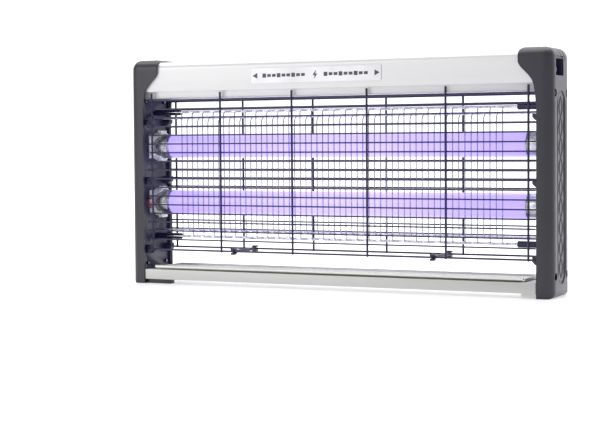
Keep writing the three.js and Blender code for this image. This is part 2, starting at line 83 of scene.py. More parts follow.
LAMP_Y = middle("lamp_upper_glass", Y)
LAMP_HEIGHTS = {level: middle(f"lamp_{level}_glass", Z) for level in ("upper", "lower")}
INLET = (middle("inlet_pin_earth", Y), middle("power_inlet", Z) + 0.35)


# ---- Settings that a user would change ----

def colour_setting(name, description, default):
    """A colour typed as sRGB hex, such as #3A3A42."""
    return bpy.props.StringProperty(name=name, description=description, default=default)


class ZapperFinishes(bpy.types.PropertyGroup):
    """Colours of the finishes, as sRGB hex."""

    cap: colour_setting("Caps", "Moulded end caps", "#27272F")
    aluminium: colour_setting("Aluminium", "Anodised housing and cover", "#DADADA")
    rail: colour_setting("Rail", "Mill-finish bottom rail", "#C6C7C2")
    # The guard wire's colour is black with a painted violet cast of the tubes' light.
    wire: colour_setting("Guard wire", "Powder-coated guards", "#17123A")
    lamp_middle: colour_setting("Lamp middle", "Light along the tube's middle", "#B8A8FF")
    lamp_end: colour_setting("Lamp ends", "Light near the tube's bases", "#A08EFF")


def length_setting(name, description, default, low, high):
    return bpy.props.FloatProperty(
        name=name, description=description, default=default * MM, min=low * MM, max=high * MM,
        subtype="DISTANCE", unit="LENGTH", precision=5,
    )


class ZapperSizes(bpy.types.PropertyGroup):
    """Sizes of the details, in metres."""

    post_radius: length_setting("Post radius", "Guards' upright wires", 1.15, 0.5, 2)
    bar_radius: length_setting("Bar radius", "Guards' level wires", 0.82, 0.3, 1.5)
    electrode_radius: length_setting("Electrode radius", "Grid wires", 0.6, 0.3, 1.2)
    rod_radius: length_setting("Rod radius", "Grid rods", 1.45, 0.8, 2)
    edge_rounding: length_setting("Edge rounding", "Rounding of moulded edges", 0.5, 0.1, 1)
    lamp_glow: bpy.props.FloatProperty(
        name="Lamp glow", description="How strongly the tubes shine", default=1.55, min=0, max=20)


# ---- Shapes ----

def arc(a, b, radius, start, end, steps):
    """Points of an arc about (a, b), from one angle in degrees to another."""
    angles = [math.radians(start + (end - start) * i / steps) for i in range(steps + 1)]
    return [(a + radius * math.cos(t), b + radius * math.sin(t)) for t in angles]


def bezier(p0, p1, p2, p3, steps):
    """Points of a cubic curve, without its first."""
    points = []
    for i in range(1, steps + 1):
        t = i / steps
        u = 1 - t
        weights = (u ** 3, 3 * u * u * t, 3 * u * t * t, t ** 3)
        points.append(tuple(sum(w * p[k] for w, p in zip(weights, (p0, p1, p2, p3))) for k in (0, 1)))
    return points


def rounded(a0, b0, a1, b1, radii, steps=8):
    """A rectangle with a radius at each corner, counterclockwise from the lowest one."""
    centres = [(a0, b0, 1, 1, 180), (a1, b0, -1, 1, 270), (a1, b1, -1, -1, 0), (a0, b1, 1, -1, 90)]
    points = []
    for (a, b, da, db, start), radius in zip(centres, radii):
        if radius:
            points += arc(a + da * radius, b + db * radius, radius, start, start + 90, steps)
        else:
            points.append((a, b))
    return points


def smoothed(points, radius, steps=5):
    """A path of (x, y, z) points with its inner corners rounded."""
    path = [Vector(points[0])]
    for before, corner, after in zip(points, points[1:], points[2:]):
        corner = Vector(corner)
        start = corner + (Vector(before) - corner).normalized() * radius
        end = corner + (Vector(after) - corner).normalized() * radius
        for i in range(steps + 1):
            t = i / steps
            path.append(start * (1 - t) ** 2 + corner * 2 * t * (1 - t) + end * t * t)
    path.append(Vector(points[-1]))
    return path


PLANES = {
    "x": lambda a, b, c: (c, a, b),
    "y": lambda a, b, c: (a, -c, b),
    "z": lambda a, b, c: (a, b, c),
}


def prism(bm, outline, axis, low, high):
    """Adds an outline run along an axis: (Y, Z) along x, (X, Z) along y or (X, Y) along z."""
    if axis == "y":
        low, high = -high, -low
    ends = [[bm.verts.new(Vector(PLANES[axis](a, b, c)) * MM) for a, b in outline] for c in (low, high)]
    bm.faces.new(ends[0][::-1])
    bm.faces.new(ends[1])
    for i in range(len(outline)):
        j = (i + 1) % len(outline)
        bm.faces.new((ends[0][i], ends[0][j], ends[1][j], ends[1][i]))


def block(bm, x0, x1, y0, y1, z0, z1):
    prism(bm, [(y0, z0), (y1, z0), (y1, z1), (y0, z1)], "x", x0, x1)


def turned(bm, profile, y, z, sides=48):
    """Adds a closed profile of (x, radius) points turned about X; radius 0 closes an end."""
    rings = []
    for x, radius in profile:
        if radius == 0:
            rings.append([bm.verts.new(Vector((x, y, z)) * MM)])
            continue
        turn = [2 * math.pi * k / sides for k in range(sides)]
        rings.append([
            bm.verts.new(Vector((x, y + radius * math.cos(t), z + radius * math.sin(t))) * MM)
            for t in turn
        ])
    for one, two in zip(rings, rings[1:] + rings[:1]):
        if len(one) == 1 and len(two) == 1:
            continue
        for k in range(sides):
            j = (k + 1) % sides
            corners = [one[k % len(one)], two[k % len(two)], two[j % len(two)], one[j % len(one)]]
            bm.faces.new(list(dict.fromkeys(corners)))


def rod(x0, x1, radius):
    """The profile of a plain cylinder along X, to be turned."""
    return [(x0, 0), (x0, radius), (x1, radius), (x1, 0)]


def tube(bm, path, radius, sides=10):
    """Adds a round wire along a path of points in millimetres, with softened ends."""
    points = [Vector(p) for p in path]
    heading = (points[1] - points[0]).normalized()
    across = heading.orthogonal().normalized()
    stations = [(points[0] - heading * 0.25 * radius, 0.6, heading, across)]
    for i, point in enumerate(points):
        ahead = points[min(i + 1, len(points) - 1)]
        behind = points[max(i - 1, 0)]
        heading = (ahead - behind).normalized()
        across = (across - heading * across.dot(heading)).normalized()
        stations.append((point, 1, heading, across))
    stations.append((points[-1] + heading * 0.25 * radius, 0.6, heading, across))
    rings = []
    for centre, scale, heading, across in stations:
        up = heading.cross(across)
        turn = [2 * math.pi * k / sides for k in range(sides)]
        rings.append([
            bm.verts.new((centre + (across * math.cos(t) + up * math.sin(t)) * radius * scale) * MM)
            for t in turn
        ])
    for one, two in zip(rings, rings[1:]):
        for k in range(sides):
            j = (k + 1) % sides
            bm.faces.new((one[k], one[j], two[j], two[k]))
    bm.faces.new(rings[0][::-1])
    bm.faces.new(rings[-1])


def shape(name, *makers):
    """An object whose mesh the makers add to, each as (function, arguments...)."""
    bm = bmesh.new()
    for maker, *arguments in makers:
        maker(bm, *arguments)
    bmesh.ops.recalc_face_normals(bm, faces=bm.faces)
    mesh = bpy.data.meshes.new(name)
    bm.to_mesh(mesh)
    bm.free()
    made = bpy.data.objects.new(name, mesh)
    bpy.context.scene.collection.objects.link(made)
    return made


def mirror(thing):
    """Turns a right-hand piece into its left-hand twin."""
    thing.data.transform(Matrix.Diagonal((-1, 1, 1, 1)))
    thing.data.flip_normals()


def settle(thing):
    """Replaces an object's mesh with what its modifiers make of it."""
    depsgraph = bpy.context.evaluated_depsgraph_get()
    made = bpy.data.meshes.new_from_object(thing.evaluated_get(depsgraph))
    thing.modifiers.clear()
    thing.data = made


def combine(thing, operation, tools):
    """Joins, cuts or crosses an object with others, which are used up."""
    for tool in tools:
        step = thing.modifiers.new(operation.title(), "BOOLEAN")
        step.operation = operation
        step.object = tool
        step.solver = "MANIFOLD"
    settle(thing)
    for tool in tools:
        bpy.data.objects.remove(tool)
    return thing


def soften(thing, width, angle=35, segments=2):
    """Rounds an object's sharp edges and shades it smoothly between them."""
    for face in thing.data.polygons:
        face.use_smooth = True
    weld = thing.modifiers.new("Weld", "WELD")
    weld.merge_threshold = 0.004 * MM
    edge = thing.modifiers.new("Edge", "BEVEL")
    edge.width = width
    edge.segments = segments
    edge.limit_method = "ANGLE"
    edge.angle_limit = math.radians(angle)
    edge.harden_normals = True
    edge.miter_outer = "MITER_ARC"
    edge.use_clamp_overlap = True


def smooth(thing, angle=35):
    for face in thing.data.polygons:
        face.use_smooth = True
    thing.data.set_sharp_from_angle(angle=math.radians(angle))


def finished(thing, body, material, replaced=()):
    """Gives a piece its material, body and the CAD nodes that it stands for."""
    thing.data.materials.clear()
    thing.data.materials.append(material)
    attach(thing, body)
    if replaced:
        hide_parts(*replaced)
    return thing


def dress(nodes, material, width=0.2):
    """Gives CAD nodes a material and rounds their edges, in millimetres."""
    for name in nodes:
        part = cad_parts[name]
        if not part.material_slots:
            part.data.materials.append(material)
        for place in part.material_slots:
            place.material = material
        soften(part, width * MM)


# ---- Materials ----

def linear(code):
    """An sRGB hex colour as linear RGBA."""
    parts = [int(code.lstrip("#")[i:i + 2], 16) / 255 for i in (0, 2, 4)]
    return (*[c / 12.92 if c <= 0.04045 else ((c + 0.055) / 1.055) ** 2.4 for c in parts], 1)


def per(size):
    """A pattern's scale for features of this size in millimetres."""
    return 1 / (size * MM)


def add(tree, kind, inputs=None, **settings):
    """Adds a node with its own settings, and its inputs' values or links."""
    made = tree.nodes.new("ShaderNode" + kind)
    for name, value in settings.items():
        setattr(made, name, value)
    for name, value in (inputs or {}).items():
        if isinstance(value, bpy.types.NodeSocket):
            tree.links.new(value, made.inputs[name])
        else:
            made.inputs[name].default_value = value
    return made


def surface(name, **sockets):
    """A new material: its tree, its shader with these sockets set, and its place in metres."""
    material = bpy.data.materials.new(name)
    material.use_nodes = True
    tree = material.node_tree
    tree.nodes.clear()
    shader = add(tree, "BsdfPrincipled", {k.replace("_", " "): v for k, v in sockets.items()})
    add(tree, "OutputMaterial", {"Surface": shader.outputs[0]})
    place = add(tree, "TexCoord").outputs["Object"]
    return material, tree, shader, place


def mottled(tree, place, size, dark, light, stretch=(1, 1, 1), detail=3, low=0.35, high=0.65):
    """A colour that drifts between two over patches of a size, and the noise behind it."""
    stretched = add(tree, "Mapping", {"Vector": place, "Scale": stretch}).outputs[0]
    noise = add(tree, "TexNoise", {"Vector": stretched, "Scale": per(size), "Detail": detail})
    ramp = add(tree, "ValToRGB", {"Fac": noise.outputs["Fac"]})
    ramp.color_ramp.elements[0].position = low
    ramp.color_ramp.elements[1].position = high
    ramp.color_ramp.elements[0].color = linear(dark)
    ramp.color_ramp.elements[1].color = linear(light)
    return ramp.outputs["Color"], noise.outputs["Fac"]


def rough_between(tree, noise, low, high):
    return add(tree, "MapRange", {"Value": noise, "To Min": low, "To Max": high}).outputs["Result"]


def bumped(tree, shader, noise, depth, strength=1.0):
    """Raises the surface by a pattern, to a depth in millimetres."""
    bump = add(tree, "Bump", {"Height": noise, "Distance": depth * MM, "Strength": strength})
    tree.links.new(bump.outputs[0], shader.inputs["Normal"])


def shaded(code, factor):
    """The same sRGB hex colour, darker or lighter by a factor."""
    parts = [min(255, round(int(code.lstrip("#")[i:i + 2], 16) * factor)) for i in (0, 2, 4)]
    return "#%02X%02X%02X" % tuple(parts)


def textured_plastic(name, colour, roughness, grain, depth, ior=1.54):
    """A plastic, coat or ink whose fine grain breaks its highlights into a soft sheen."""
    material, tree, shader, place = surface(name, IOR=ior)
    tint, _ = mottled(tree, place, 60, shaded(colour, 0.94), shaded(colour, 1.06))
    tree.links.new(tint, shader.inputs["Base Color"])
    pores = add(tree, "TexNoise", {"Vector": place, "Scale": per(grain), "Detail": 2.0})
    rough = rough_between(tree, pores.outputs["Fac"], roughness - 0.08, roughness + 0.08)
    tree.links.new(rough, shader.inputs["Roughness"])
    bumped(tree, shader, pores.outputs["Fac"], depth)
    return material


def moulded_charcoal_abs(finishes):
    """Charcoal ABS from a textured mould: grain of 0.5 mm that only shows as a satin sheen."""
    return textured_plastic("moulded_charcoal_abs", finishes.cap, 0.36, 0.5, 0.015)


def moulded_black_abs():
    """Black flame-retardant ABS: duller than the caps; its colour holds a painted blue-violet cast of the
    tubes' light.
    """
    return textured_plastic("moulded_black_abs", "#12103A", 0.42, 0.6, 0.012)


def polished_white_polycarbonate():
    """White polycarbonate from a polished mould: glossy, with slow unevenness of its skin."""
    return textured_plastic("polished_white_polycarbonate", "#F1F1F4", 0.26, 2.5, 0.01, ior=1.58)


def extruded_metal(name, colour, roughness, line, depth):
    """Extruded aluminium: fine die lines run along X and stretch its highlights across them."""
    material, tree, shader, place = surface(name, Metallic=0.5)
    shader.inputs["Anisotropic"].default_value = 0.35
    tint, _ = mottled(tree, place, 25, shaded(colour, 0.975), shaded(colour, 1.01), (0.06, 1, 1))
    tree.links.new(tint, shader.inputs["Base Color"])
    lines = add(tree, "Mapping", {"Vector": place, "Scale": (0.01, 1, 1)}).outputs[0]
    die = add(tree, "TexNoise", {"Vector": lines, "Scale": per(line), "Detail": 2.0})
    rough = rough_between(tree, die.outputs["Fac"], roughness - 0.06, roughness + 0.06)
    tree.links.new(rough, shader.inputs["Roughness"])
    bumped(tree, shader, die.outputs["Fac"], depth)
    return material


def anodised_aluminium(finishes):
    """Silver-white anodised housing: near white, with an even satin."""
    return extruded_metal("anodised_aluminium", finishes.aluminium, 0.42, 0.7, 0.004)


def mill_aluminium(finishes):
    """Mill-finish rail: greyer, with die lines that just show."""
    return extruded_metal("mill_aluminium", finishes.rail, 0.38, 0.9, 0.008)


def rolled_aluminium():
    """Rolled aluminium sheet of the tray: brighter, with rolling lines along X."""
    return extruded_metal("rolled_aluminium", "#DADAD4", 0.36, 0.8, 0.006)


def powder_coated_wire(finishes):
    """Black powder coat on wire: orange-peel of 1.2 mm and a soft gloss; its colour holds a painted violet
    cast of the tubes' light.
    """
    return textured_plastic("powder_coated_wire", finishes.wire, 0.34, 1.2, 0.015)


def drawn_metal(name, colour, roughness, scratch):
    """Bare or plated metal, or metal darkened as painted shade, with cloudy spots and fine scratches."""
    material, tree, shader, place = surface(name, Metallic=1.0)
    tint, _ = mottled(tree, place, 4, shaded(colour, 0.9), shaded(colour, 1.05))
    tree.links.new(tint, shader.inputs["Base Color"])
    marks = add(tree, "TexNoise", {"Vector": place, "Scale": per(scratch), "Detail": 4.0})
    rough = rough_between(tree, marks.outputs["Fac"], roughness - 0.1, roughness + 0.12)
    tree.links.new(rough, shader.inputs["Roughness"])
    bumped(tree, shader, marks.outputs["Fac"], 0.006)
    return material


def drawn_stainless():
    """Drawn stainless wire, whose scratches are drawn coarser than real ones to show."""
    return drawn_metal("drawn_stainless", "#B4B4C0", 0.3, 0.8)


def ground_stainless():
    """Centreless-ground stainless rod: nearly white where it mirrors the pale room."""
    return drawn_metal("ground_stainless", "#EDEDF2", 0.2, 1.2)


def pressed_aluminium():
    """Pressed aluminium lamp base: satin with faint drawing marks."""
    return drawn_metal("pressed_aluminium", "#C9C9D0", 0.28, 1.0)


def zinc_plated_steel():
    """Bright zinc plating: bluish grey with a cloudy passivated skin."""
    return drawn_metal("zinc_plated_steel", "#9DA0A6", 0.33, 1.5)


def painted_shade_screw_steel():
    """Steel of the recessed screws, painted dark as painted shade in their counterbores, with a dull shine.
    """
    return drawn_metal("painted_shade_screw_steel", "#3A3A3E", 0.4, 1.0)


def plated_brass():
    """Nickel-bright brass blades, warm where the plating is thin."""
    return drawn_metal("plated_brass", "#A9A59C", 0.25, 1.2)


def lit_phosphor_glass(finishes, glow):
    """Phosphor-coated glass of a lit tube: white-violet, deeper near its ends, under clear gloss."""
    material, tree, shader, place = surface(
        "lit_phosphor_glass", IOR=1.52, Roughness=0.15, Emission_Strength=glow)
    along = add(tree, "SeparateXYZ", {"Vector": place}).outputs["X"]
    away = add(tree, "Math", {0: along}, operation="ABSOLUTE").outputs[0]
    cloud = add(tree, "TexNoise", {"Vector": place, "Scale": per(35), "Detail": 2.0}).outputs["Fac"]
    drifted = add(tree, "Math", {0: cloud, 1: 0.03, 2: away}, operation="MULTIPLY_ADD").outputs[0]
    share = add(tree, "MapRange", {"Value": drifted, "From Min": 0.06, "From Max": 0.225})
    ramp = add(tree, "ValToRGB", {"Fac": share.outputs["Result"]})
    ramp.color_ramp.elements[0].color = linear(finishes.lamp_middle)
    ramp.color_ramp.elements[1].color = linear(finishes.lamp_end)
    tree.links.new(ramp.outputs["Color"], shader.inputs["Emission Color"])
    powder, _ = mottled(tree, place, 20, "#4A4460", "#544E6C")
    tree.links.new(powder, shader.inputs["Base Color"])
    return material


def soft_pvc(name, colour):
    """PVC lead insulation: waxy, with slight waves from the extruder."""
    return textured_plastic(name, colour, 0.36, 3.0, 0.02, ior=1.53)


def printed_film(name, colour):
    """Polyester label film: smooth and softly glossy, with faint ripples where it is stuck."""
    return textured_plastic(name, colour, 0.3, 14, 0.006, ior=1.6)


def solder_mask():
    """Green solder mask over copper: glossy, with darker and lighter runs of track."""
    material, tree, shader, place = surface("solder_mask", IOR=1.5)
    tint, tracks = mottled(tree, place, 5, "#1F4A2C", "#2F6B3F", (0.3, 1, 1), 0, 0.48, 0.52)
    tree.links.new(tint, shader.inputs["Base Color"])
    rough = rough_between(tree, tracks, 0.25, 0.4)
    tree.links.new(rough, shader.inputs["Roughness"])
    bumped(tree, shader, tracks, 0.03)
    return material


def backlit_acrylic(name, colour):
    """Backlit acrylic with a faint satin: it glows evenly and gives a soft reflection."""
    material, tree, shader, place = surface(name, IOR=1.45, Emission_Strength=0.42)
    shader.inputs["Emission Color"].default_value = linear("#FFFFFF")
    tint, drift = mottled(tree, place, 400, shaded(colour, 0.995), colour)
    tree.links.new(tint, shader.inputs["Base Color"])
    rough = rough_between(tree, drift, 0.2, 0.24)
    tree.links.new(rough, shader.inputs["Roughness"])
    return material


# ---- End caps ----

CAP_CORNER = 10.5  # radius of the cap's rounded outer and upper edges
CAP_FOOT_RADIUS = 5.5
CAP_TIP_RADIUS = 5
CAP_LEAN = 1.2  # how far the outer face leans in by its top
CAP_STEP = 0.003  # keeps points apart where the inset draws them onto one line


def cap_front(inset):
    """The right cap from the front, drawn in from its outer and upper sides by an inset."""
    side, top = WIDTH_HALF - inset, HEIGHT - inset
    foot = arc(WIDTH_HALF - CAP_FOOT_RADIUS, CAP_FOOT_RADIUS, CAP_FOOT_RADIUS, -90, 0, 8)
    outline = [(CAP_EDGE, 0)]
    outline += [(min(x, side - CAP_STEP * (len(foot) - i)), z) for i, (x, z) in enumerate(foot)]
    outline += arc(WIDTH_HALF - CAP_CORNER, HEIGHT - CAP_CORNER, max(CAP_CORNER - inset, 0.05), 0, 90, 12)
    tip = arc(CAP_TIP + CAP_TIP_RADIUS, HEIGHT - CAP_TIP_RADIUS, CAP_TIP_RADIUS, 90, 180, 6)
    outline += [(x, min(z, top - CAP_STEP * (i + 1))) for i, (x, z) in enumerate(tip)]
    sweep_start = (CAP_EDGE - 4.2, 209)
    outline += bezier((CAP_TIP, 229), (CAP_TIP, 221), (CAP_EDGE - 9, 218), sweep_start, 14)
    outline += bezier(sweep_start, (CAP_EDGE - 2, 205), (CAP_EDGE - 0.8, 195), (CAP_EDGE, 180), 14)
    return outline


def lofted(bm, sections):
    """Adds a solid through outlines of as many (X, Z) points each, given as (y, outline)."""
    rings = [[bm.verts.new(Vector((a, y, b)) * MM) for a, b in outline] for y, outline in sections]
    for one, two in zip(rings, rings[1:]):
        for i in range(len(one)):
            j = (i + 1) % len(one)
            bm.faces.new((one[i], one[j], two[j], two[i]))
    bm.faces.new(rings[0])
    bm.faces.new(rings[-1][::-1])


def cap_sections():
    """Outlines from the cap's front to its back, which shrink as the long edges round off."""
    steps = 10
    turns = [math.radians(90 * i / steps) for i in range(steps)]
    drawn = [(CAP_CORNER * (1 - math.cos(t)), CAP_CORNER * (1 - math.sin(t))) for t in turns]
    front = [(-DEPTH_HALF + out, cap_front(inset)) for out, inset in drawn]
    back = [(DEPTH_HALF - out, cap_front(inset)) for out, inset in reversed(drawn)]
    flat = [(-DEPTH_HALF + CAP_CORNER, cap_front(0)), (DEPTH_HALF - CAP_CORNER, cap_front(0))]
    return front + flat + back


def cap_hollow():
    """The space inside the cap, open towards the housing and below."""
    wall, far, outer = 2.2, CAP_TIP - 5, WIDTH_HALF - 5
    reach = DEPTH_HALF - wall
    side = rounded(-reach, wall, reach, HEIGHT - wall, [0, 0, 8, 8])
    plan = rounded(far, -reach, outer, reach, [0, 8, 8, 0])
    front = rounded(far, 1, outer, HEIGHT - wall, [0, 3, 8, 0])
    body = shape("hollow", (prism, side, "x", far, WIDTH_HALF))
    return combine(body, "INTERSECT", [
        shape("plan", (prism, plan, "z", -1, HEIGHT + 1)),
        shape("front", (prism, front, "y", -DEPTH_HALF - 1, DEPTH_HALF + 1)),
    ])


def leaned(thing):
    """Leans the outer face of a right-hand cap inwards as it rises."""
    for vertex in thing.data.vertices:
        x, z = vertex.co.x / MM, vertex.co.z / MM
        share = max(0, (x - CAP_EDGE - 4) / (WIDTH_HALF - CAP_EDGE - 4))
        vertex.co.x -= CAP_LEAN * MM * share * z / HEIGHT


def stadium(half_width, low, high, steps=16):
    return rounded(-half_width, low, half_width, high, [half_width] * 4, steps // 2)


SCREWS = [(y, z) for y in (-19, 19) for z in (21, 197)]
RELIEF_LOW, RELIEF_HIGH = 12.5, 199.5
BOSS_START, BOSS_RADIUS = 226, 5
SINK_FLOOR, SINK_RADIUS = 231.7, 3.7
BORE_START, BORE_END, BORE_RADIUS = 225, 233, 2.1
WINDOW_HALF = (12.75, 8.25)  # half the inlet window's width and height


def end_cap(name, with_inlet):
    """One moulded cap, as it stands on the right."""
    body = combine(shape(name, (lofted, cap_sections())), "DIFFERENCE", [cap_hollow()])
    past = WIDTH_HALF + 1  # just outside the outer face, where cuts into it start
    boss = rod(BOSS_START, WIDTH_HALF - 1.5, BOSS_RADIUS)
    bosses = [shape("boss", (turned, boss, y, z, 24)) for y, z in SCREWS]
    lug = shape("lug", (prism, rounded(LUG_TIP, 15, CAP_EDGE + 2, 25, [1.5, 0, 0, 1.5], 5), "z", 0, 4.4))
    combine(body, "UNION", bosses + [lug])
    relief = stadium(14.5, RELIEF_LOW, RELIEF_HIGH)
    cuts = [shape("relief", (prism, relief, "x", WIDTH_HALF - 0.8, past))]
    for y, z in SCREWS:
        cuts.append(shape("sink", (turned, rod(SINK_FLOOR, past, SINK_RADIUS), y, z, 28)))
        cuts.append(shape("bore", (turned, rod(BORE_START, BORE_END, BORE_RADIUS), y, z, 20)))
    for y in (0, 11):
        groove = shape("groove", (block, 222, past, y - 0.8, y + 0.8, 229, HEIGHT + 1))
        under = rounded(200, 200, WIDTH_HALF - 1.2, HEIGHT - 1.2, [0, 0, 9.3, 0], 12)
        core = shape("core", (prism, under, "y", y - 1, y + 1))
        cuts.append(combine(groove, "DIFFERENCE", [core]))
    rim = shape("rim", (prism, rounded(170, -40, 250, 40, [0, 0, 0, 0]), "z", 1.5, 1.9))
    inside = rounded(160, -DEPTH_HALF + 0.4, WIDTH_HALF - 0.4, DEPTH_HALF - 0.4, [0, 11, 11, 0], 10)
    cuts.append(combine(rim, "DIFFERENCE", [shape("inside", (prism, inside, "z", 1, 3))]))
    if with_inlet:
        y, z = INLET
        wide, tall = WINDOW_HALF
        window = rounded(y - wide, z - tall, y + wide, z + tall, [1] * 4, 3)
        cuts.append(shape("window", (prism, window, "x", 228, past)))
        ledge = rounded(y - wide, z + 9.2, y + wide, z + 10.6, [0.5] * 4, 3)
        cuts.append(shape("ledge", (prism, ledge, "x", WIDTH_HALF - 1.3, past)))
    return combine(body, "DIFFERENCE", cuts)


def relief_waves(name):
    """Raised ribs in the cap's long panel: a bead round its edge and a braid of waves within."""
    floor, waves = WIDTH_HALF - 0.85, 9
    low, high = RELIEF_LOW + 6, RELIEF_HIGH - 6
    strands = []
    for reach, base in ((5.2, 0), (-5.2, 0), (1.3, 9.6), (1.3, -9.6)):
        path = []
        for i in range(181):
            share = i / 180
            swing = math.sin(math.pi * waves * share)
            y = base + (reach * swing if not base else math.copysign(reach * (swing * swing - 1), base))
            path.append((floor, y, low + (high - low) * share))
        strands.append((tube, path, 0.6, 8))
    edge = stadium(12.8, RELIEF_LOW + 1.7, RELIEF_HIGH - 1.7)
    bead = [(floor, a, b) for a, b in edge + edge[:2]]
    return shape(name, (tube, bead, 0.5, 8), *strands)


class ZAPPER_OT_end_caps(bpy.types.Operator):
    """Moulds both end caps, with the raised waves in their side panels"""

    bl_idname = "zapper.end_caps"
    bl_label = "End Caps"

    def execute(self, context):
        finishes = context.scene.zapper_finishes
        plastic = moulded_charcoal_abs(finishes)
        for side, turn in (("right", 0), ("left", math.pi)):
            cap = end_cap(f"cap_moulding_{side}", side == "right")
            waves = relief_waves(f"cap_waves_{side}")
            for piece in (cap, waves):
                leaned(piece)
                piece.data.transform(Matrix.Rotation(turn, 4, "Z"))
            soften(cap, context.scene.zapper_sizes.edge_rounding, 42, 3)
            smooth(waves)
            finished(cap, "frame", plastic, [f"end_cap_{side}"])
            finished(waves, "frame", plastic)
        steel = painted_shade_screw_steel()
        # The cap screws' heads are dark with painted shade of their counterbores.
        dress([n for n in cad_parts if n.startswith("cap_screw")], steel, 0.15)
        return {"FINISHED"}


# ---- Housing and label ----

def run_along(name, outline, node):
    """An extrusion as long as a CAD node, with smooth curves in its section."""
    low, high = span(node, X)
    made = shape(name, (prism, outline, "x", low, high))
    smooth(made, 30)
    return made


class ZAPPER_OT_housing(bpy.types.Operator):
    """Extrudes the top housing and finishes the cover that closes it from below"""

    bl_idname = "zapper.housing"
    bl_label = "Housing"

    def execute(self, context):
        metal = anodised_aluminium(context.scene.zapper_finishes)
        front, back = span("top_housing", Y)
        low, high = span("top_housing", Z)
        wall, radius, lip = 1.2, 8.5, 3.5
        outer = arc(back - radius, high - radius, radius, 0, 90, 14)
        outer += arc(front + radius, high - radius, radius, 90, 180, 14)
        inner_radius = radius - wall
        inner = arc(front + radius, high - radius, inner_radius, 180, 90, 14)
        inner += arc(back - radius, high - radius, inner_radius, 90, 0, 14)
        outline = [(back, low)] + outer + [(front, low), (front + lip, low), (front + lip, low + wall),
                                           (front + wall, low + wall)]
        outline += inner + [(back - wall, low + wall), (back - lip, low + wall), (back - lip, low)]
        shell = run_along("housing_shell", outline, "top_housing")
        finished(shell, "frame", metal, ["top_housing"])
        dress(["inner_cover"], metal, 0.5)
        return {"FINISHED"}


INK_OUT, INK_IN = 0.06, 0.02  # how far ink stands out of the film's face, and reaches into it


def inked(bm, outline, face):
    prism(bm, outline, "y", face - INK_OUT, face + INK_IN)


def triangle(bm, x, z, way, face):
    """A flat arrow head that points along X."""
    tip = 5.6 * way
    inked(bm, [(x, z - 3), (x + tip, z), (x, z + 3)][::way], face)


def stroke(bm, x0, x1, z, half, face):
    inked(bm, [(x0, z - half), (x1, z - half), (x1, z + half), (x0, z + half)], face)


def bolt(bm, x, z, face):
    """A plain lightning flash."""
    points = [(-0.6, -4.6), (2.6, 0.6), (0.5, 0.6), (1.6, 4.6), (-2.6, -0.7), (-0.4, -0.7)]
    inked(bm, [(x + a, z + b) for a, b in points], face)


class ZAPPER_OT_label(bpy.types.Operator):
    """Sticks on the front label, with an arrow head at each end, a flash and plain bars"""

    bl_idname = "zapper.label"
    bl_label = "Label"

    def execute(self, context):
        film = printed_film("printed_polyester_film", "#E3E3E5")
        ink = printed_film("black_screen_ink", "#3C3A40")
        low, high = span("front_label", X)
        bottom, top = span("front_label", Z)
        face = span("front_label", Y)[0]
        plate = rounded(low, bottom, high, top, [1.5] * 4, 6)
        sticker = shape("label_film", (prism, plate, "y", face, face + 0.4))
        smooth(sticker)
        finished(sticker, "frame", film, ["front_label"])
        centre_x, centre_z = (low + high) / 2, (bottom + top) / 2
        marks = [(triangle, low + 7, centre_z, -1, face), (triangle, high - 7, centre_z, 1, face),
                 (bolt, centre_x, centre_z, face)]
        for start, end in ((-60, -10), (10, 60)):
            for i in range(9):
                x = centre_x + start + (end - start) * i / 9
                marks.append((stroke, x, x + 4.2, centre_z, 1.5 if i % 3 else 2.1, face))
        finished(shape("label_marks", *marks), "frame", ink)
        return {"FINISHED"}


# ---- Rail and tray ----

class ZAPPER_OT_rail_and_tray(bpy.types.Operator):
    """Finishes the bottom rail and rolls the tray with its front lip"""

    bl_idname = "zapper.rail_and_tray"
    bl_label = "Rail and Tray"

    def execute(self, context):
        dress(["bottom_rail"], mill_aluminium(context.scene.zapper_finishes), 0.6)
        front, back = span("collecting_tray", Y)
        floor, top = span("collecting_tray", Z)
        half = span("collecting_tray", X)[1]
        sheet, roll = 0.8, 1.65
        trough_front, back_top = front + 5.4, floor + 3
        corner, corner_top = 3.2, top - 0.9  # the rounded lower corners at the roll's ends
        lip = arc(front + roll, top - roll, roll, 0, 345, 23)
        lip_front = [(-half, top + 1), (-half, corner_top)]
        lip_front += arc(-half + corner, corner_top, corner, 180, 270, 8)
        lip_front += arc(half - corner, corner_top, corner, 270, 360, 8) + [(half, top + 1)]
        roll_bar = shape("roll", (prism, lip, "x", -half, half))
        combine(roll_bar, "INTERSECT", [shape("ends", (prism, lip_front, "y", front - 1, front + 5))])
        riser = [(trough_front, floor), (front + 6.2, floor), (front + 3.6, top - 1.5),
                 (front + 1.6, top - 0.6), (front + 1.6, top - 1.4), (front + 2.9, top - 2.1)]
        trough = [(trough_front, floor), (back, floor), (back, back_top), (back - sheet, back_top),
                  (back - sheet, floor + sheet), (trough_front, floor + sheet)]
        tray = shape("tray_sheet", (prism, trough, "x", -half, half))
        inset = half - 3
        sides = [shape("side", (block, *sorted((side * half, side * (half - sheet))),
                                trough_front, back - 0.4, floor, floor + 2.8)) for side in (-1, 1)]
        combine(tray, "UNION", [roll_bar, shape("riser", (prism, riser, "x", -inset, inset)), *sides])
        soften(tray, 0.1 * MM, 40)
        finished(tray, "tray", rolled_aluminium(), ["collecting_tray"])
        return {"FINISHED"}


# ---- Guards ----

POST_COUNT, POST_PITCH = 6, 84.1
BAR_COUNT, BAR_TOP, BAR_PITCH, BAR_BOTTOM = 17, 197.5, 9.352, 36.8
POST_OUT, BAR_IN = 0.6, 0.9  # posts lie outside the guard's middle, and bars inside it
POST_FOOT, POST_TOP = 0.4, 1.3  # how far the posts stop short of the guard's foot and top
BAR_REACH = 0.9  # how far the bars run past the guard's ends


